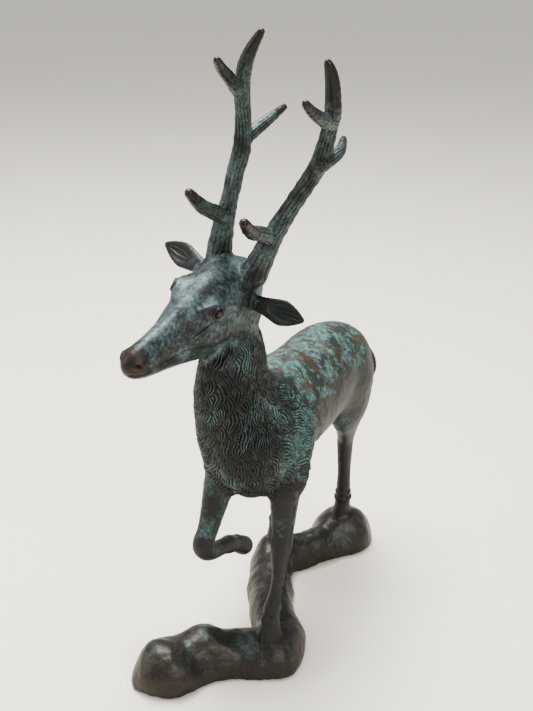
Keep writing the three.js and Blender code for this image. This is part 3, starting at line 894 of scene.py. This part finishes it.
def patinatedBronze(name, look):
    # lost-wax cast tin bronze, chased smooth and patinated with copper salts: a near-black oxide skin, chalky
    # green salts lying in patches, ochre where they turned, and brown metal where hands have rubbed the high
    # spots, so that it looks dark and soft with a low metal gleam
    material = clearMaterial(name)
    coords = addNode(material, "ShaderNodeTexCoord", output="Object")
    fineRelief, broadRelief, greenZone, ochreZone, wearZone = [
        addNode(material, "ShaderNodeAttribute", {"attribute_name": layer}, output="Fac")
        for layer in ("fineRelief", "broadRelief", "greenZone", "ochreZone", "wearZone")]
    # noise of one cell per mm has a scale of mm, as the coordinates are in metres
    # the ochre's are moved along, so that it doesn't follow the green
    movedCoords = addNode(material, "ShaderNodeVectorMath", added, {0: coords, 1: (3.7, 1.85, -3.7)})
    blotches, speckle, grain, ochrePatches = [
        addNode(material, "ShaderNodeTexNoise", {}, {
            "Vector": place, "Scale": mm / size, "Detail": detail, "Roughness": 0.6,
            "Distortion": distortion})
        for place, size, detail, distortion in (
            (coords, look["blotchMm"], 9.0, 0.35), (coords, look["speckleMm"], 4.0, 0.0),
            (coords, look["grainMm"], 2.0, 0.0), (movedCoords, look["ochreMm"], 8.0, 0.8))]

    green = addNode(material, "ShaderNodeMath", times, {0: blotches, 1: 1 - look["speckled"]})
    # the ridges of the fine relief get more of the pale green: partly salts, partly a painted highlight on
    # the ridges
    for pattern, share in ((speckle, look["speckled"]), (fineRelief, look["greenAndHighlightOnRidges"]),
                           (greenZone, 1.0)):
        green = addNode(material, "ShaderNodeMath", scaledOnto, {0: pattern, 1: share, 2: green})
    ochre = addNode(material, "ShaderNodeMath", added, {0: ochrePatches, 1: ochreZone})
    wear = addNode(material, "ShaderNodeMath", times, {0: broadRelief, 1: look["wearBroad"]})
    for pattern, share in ((fineRelief, look["wearFine"]), (blotches, 0.5), (wearZone, 1.0)):
        wear = addNode(material, "ShaderNodeMath", scaledOnto, {0: pattern, 1: share, 2: wear})
    # below, the grooves of both reliefs are darkened towards near-black: partly the oxide that lies in
    # hollows, partly painted shade
    relief = addNode(material, "ShaderNodeMath", added, {0: fineRelief, 1: broadRelief})

    greenMask, ochreMask, wearMask, grooveOxideAndShadeMask, grainMask, speckleMask = [
        addNode(material, "ShaderNodeMapRange", {}, {
            "Value": value, "From Min": low, "From Max": high, "To Max": most})
        for value, low, high, most in (
            (green, look["greenFrom"], look["greenFrom"] + look["greenEdge"], look["greenMost"]),
            (ochre, look["ochreFrom"], look["ochreFrom"] + look["ochreEdge"], look["ochreMost"]),
            (wear, look["wearFrom"], look["wearFrom"] + look["wearEdge"], look["wearMost"]),
            (relief, -0.15, -1.3, look["grooveOxideAndShadeMost"]), (grain, 0.3, 0.7, 1.0), (speckle, 0.35, 0.65, 1.0))]

    dark, mid, greenDeep, greenPale, ochreBrown, worn, grooveOxideAndShade = [
        toLinear(look[tone]) for tone in ("dark", "mid", "greenDeep", "greenPale", "ochre", "worn", "grooveOxideAndShade")]
    salts = addNode(material, "ShaderNodeMix", blendColours, {
        0: speckleMask, underColour: greenDeep, overColour: greenPale}, mixedColour)
    colour = dark
    for mask, over in ((grainMask, mid), (greenMask, salts), (ochreMask, ochreBrown), (wearMask, worn),
                       (grooveOxideAndShadeMask, grooveOxideAndShade)):
        colour = addNode(material, "ShaderNodeMix", blendColours, {
            0: mask, underColour: colour, overColour: over}, mixedColour)

    # the salts are dull and hide the metal, rubbed spots are smoother, and the grain breaks up the gleam
    saltCover = addNode(material, "ShaderNodeMath", times, {0: greenMask, 1: 0.8})
    bareness = addNode(material, "ShaderNodeMath", less, {0: 0.85, 1: saltCover})
    metallic = addNode(material, "ShaderNodeMath", times, {0: bareness, 1: look["metal"]})
    roughness = look["rough"]
    for mask, change in ((greenMask, look["roughGreen"] - look["rough"]), (wearMask, -0.12), (grain, 0.1)):
        roughness = addNode(material, "ShaderNodeMath", scaledOnto, {0: mask, 1: change, 2: roughness})
    pits = addNode(material, "ShaderNodeMath", times, {0: grain, 1: 0.4})
    pits = addNode(material, "ShaderNodeMath", scaledOnto, {0: speckle, 1: 0.6, 2: pits})
    bump = addNode(material, "ShaderNodeBump", {}, {
        "Strength": look["bump"], "Distance": 0.6 / mm, "Height": pits})
    shader = addNode(material, "ShaderNodeBsdfPrincipled", {}, {
        "Base Color": colour, "Metallic": metallic, "Roughness": roughness, "Normal": bump})
    addNode(material, "ShaderNodeOutputMaterial", {}, {"Surface": shader})
    return material


# colours, sizes in mm, and for each mask where it starts on the noise, its soft edge and its most cover
bronzeLook = {
    "dark": "#191b1a", "mid": "#343735", "greenDeep": "#35504d", "greenPale": "#5f8581",
    # the near-black of the grooves is partly oxide and partly painted shade
    "ochre": "#43341a", "worn": "#412e22", "grooveOxideAndShade": "#0b0b0b",
    "blotchMm": 16, "speckleMm": 1.6, "ochreMm": 9, "grainMm": 0.5,
    "greenFrom": 0.47, "greenEdge": 0.09, "greenMost": 0.85, "greenAndHighlightOnRidges": 0.02, "speckled": 0.15,
    "ochreFrom": 0.5, "ochreEdge": 0.04, "ochreMost": 0.8,
    "wearFrom": 0.62, "wearEdge": 0.5, "wearMost": 0.8, "wearBroad": 0.3, "wearFine": 0.12,
    "grooveOxideAndShadeMost": 0.85, "metal": 0.8, "rough": 0.34, "roughGreen": 0.6, "bump": 0.3,
}
finishes = {
    # back and rump: chalky turquoise with ochre islands, the flanks darker and bare
    "body_bronze": {**bronzeLook, "greenFrom": 0.455, "greenEdge": 0.1, "greenMost": 0.85, "blotchMm": 11,
             "speckleMm": 2.4, "speckled": 0.3, "dark": "#1d201f", "mid": "#333735",
             "greenDeep": "#2f4745", "greenPale": "#567975", "ochre": "#3b2f1a",
             "rough": 0.44, "metal": 0.5, "greenAndHighlightOnRidges": 0.06},
    # mane: grooves darkened to black, partly oxide and partly painted shade, the locks tipped with grey
    # green, partly salts and partly painted highlight
    "mane_bronze": {**bronzeLook, "greenFrom": 0.465, "greenAndHighlightOnRidges": 0.07, "greenEdge": 0.16,
                  "greenMost": 0.62, "grooveOxideAndShadeMost": 0.95, "mid": "#3f4341", "greenPale": "#668985",
                  "rough": 0.32},
    # head: a thin blue grey bloom, rubbed brown at the nose, and browner and darker round the eyes
    "head_bronze": {**bronzeLook, "greenFrom": 0.4, "greenEdge": 0.2, "greenMost": 0.65, "blotchMm": 12,
             "speckled": 0.3, "speckleMm": 2.0, "rough": 0.42, "mid": "#363a39",
             "greenDeep": "#3c4c4e", "greenPale": "#667f80", "roughGreen": 0.44},
    # antlers: green dust on the bark, paler on its ridges, partly a painted highlight, brown at the rubbed
    # tips
    "antler_bronze": {**bronzeLook, "greenFrom": 0.42, "greenEdge": 0.2, "greenMost": 0.6,
                    "greenAndHighlightOnRidges": 0.05, "greenDeep": "#354344", "greenPale": "#677f7b"},
    # rock: brown black with a low gleam on its humps
    "rock_bronze": {**bronzeLook, "greenFrom": 0.5, "greenEdge": 0.16, "greenMost": 0.4, "dark": "#201e1c",
             "mid": "#45413b", "worn": "#3b3127", "wearBroad": 0.4, "wearFrom": 0.6,
             "wearMost": 0.6, "rough": 0.36},
    # legs: dark and smooth, a little green above the knees
    "leg_bronze": {**bronzeLook, "greenMost": 0.6, "greenEdge": 0.16, "mid": "#2f2d2a",
                     "rough": 0.48, "metal": 0.5},
}
# the legs are in leg_bronze
slotOf = {"base": "rock_bronze", "body": "body_bronze", "tail": "body_bronze", "neck_mane": "mane_bronze",
          "head": "head_bronze", "left_ear": "head_bronze", "right_ear": "head_bronze",
          "left_antler": "antler_bronze", "right_antler": "antler_bronze"}
materials = {slot: patinatedBronze("patinated bronze " + slot.split("_")[0], look)
             for slot, look in finishes.items()}

print("placing the castings")
for name, mesh in castings.items():
    piece = bpy.data.objects.new("cast_" + name, mesh)
    bpy.context.scene.collection.objects.link(piece)
    slot = slotOf.get(name, "leg_bronze")
    mesh.materials.append(materials[slot])
    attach(piece, "root")
    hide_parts(name)


def plainMetal(name, colour, roughness):
    material = clearMaterial(name)
    coords = addNode(material, "ShaderNodeTexCoord", output="Object")
    # turning and drawing marks of about 1.5 mm, which vary the gloss
    marks = addNode(material, "ShaderNodeTexNoise", {}, {
        "Vector": coords, "Scale": mm / 1.5, "Detail": 3.0, "Roughness": 0.6})
    gloss = addNode(material, "ShaderNodeMapRange", {}, {
        "Value": marks, "From Min": 0.2, "From Max": 0.9, "To Max": roughness * 1.6})
    shader = addNode(material, "ShaderNodeBsdfPrincipled", {}, {
        "Base Color": toLinear(colour), "Metallic": 1.0, "Roughness": gloss})
    addNode(material, "ShaderNodeOutputMaterial", {}, {"Surface": shader})
    return material


# turned steel, zinc plated: pale grey and a little dull
zincSteel = plainMetal("zinc plated steel screws", "#9c9ea3", 0.34)
# drawn brass rod, cut and not polished: warm yellow with a soft gleam
rodBrass = plainMetal("drawn brass rod", "#b08d4c", 0.3)
for name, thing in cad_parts.items():
    if name in castings:
        continue
    thing.data.materials.clear()
    thing.data.materials.append(zincSteel if "foot" in name else rodBrass)

print("floor, light and camera")
floorMesh = bpy.data.meshes.new("floor")
floorReach = 9.0    # metres each way, past the camera's horizon
floorMesh.from_pydata([(x * floorReach, y * floorReach, 0) for x, y in ((-1, -1), (1, -1), (1, 1), (-1, 1))],
                      [], [(0, 1, 2, 3)])
floor = bpy.data.objects.new("floor", floorMesh)
bpy.context.scene.collection.objects.link(floor)
# painted board: an even pale ground without gloss
floorPaint = bpy.data.materials.new("pale matt board")
floorPaint.use_nodes = True
floorPaint.node_tree.nodes["Principled BSDF"].inputs["Base Color"].default_value = toLinear("#e4dccf")
floorPaint.node_tree.nodes["Principled BSDF"].inputs["Roughness"].default_value = 0.7
floorMesh.materials.append(floorPaint)
floor.location.z = -0.0002      # just under the rim, so that the two don't flicker


def softLight(name, place, target, size, power):
    lamp = bpy.data.lights.new(name, "AREA")
    lamp.shape, lamp.size, lamp.energy = "DISK", size, power
    thing = bpy.data.objects.new(name, lamp)
    bpy.context.scene.collection.objects.link(thing)
    thing.location = place
    thing.rotation_euler = (Vector(target) - Vector(place)).to_track_quat("-Z", "Y").to_euler()


softLight("overhead softbox", (-0.25, 0.15, 1.3), (0, 0, 0.15), 0.8, 34)
softLight("window", (1.2, -0.7, 1.0), (0, 0, 0.15), 0.8, 12)
softLight("fill", (-1.1, -0.8, 0.7), (0, 0, 0.2), 0.9, 7)
world = bpy.data.worlds.new("soft room")
bpy.context.scene.world = world
world.use_nodes = True
world.node_tree.nodes["Background"].inputs["Color"].default_value = (0.95, 0.97, 1.0, 1.0)
world.node_tree.nodes["Background"].inputs["Strength"].default_value = 0.7

# place in the sculpt's millimetres, angles in degrees, lens in mm on a 36 mm frame
view = {"place": [256.94, -489.63, 444.6], "heading": 29.0, "down": 24.5, "roll": 0.58, "lens": 49.92}
lens = bpy.data.cameras.new("camera")
lens.lens = view["lens"]
lens.sensor_width = 36
lens.clip_start = 0.01
camera = bpy.data.objects.new("camera", lens)
bpy.context.scene.collection.objects.link(camera)
turn = (Matrix.Rotation(math.radians(view["heading"]), 4, "Z")
        @ Matrix.Rotation(math.radians(90 - view["down"]), 4, "X")
        @ Matrix.Rotation(math.radians(view["roll"]), 4, "Z"))
camera.matrix_world = Matrix.Translation(Vector((np.array(view["place"]) + figureShift) / mm)) @ turn
bpy.context.scene.camera = camera
bpy.context.scene.view_settings.look = "AgX - Medium High Contrast"
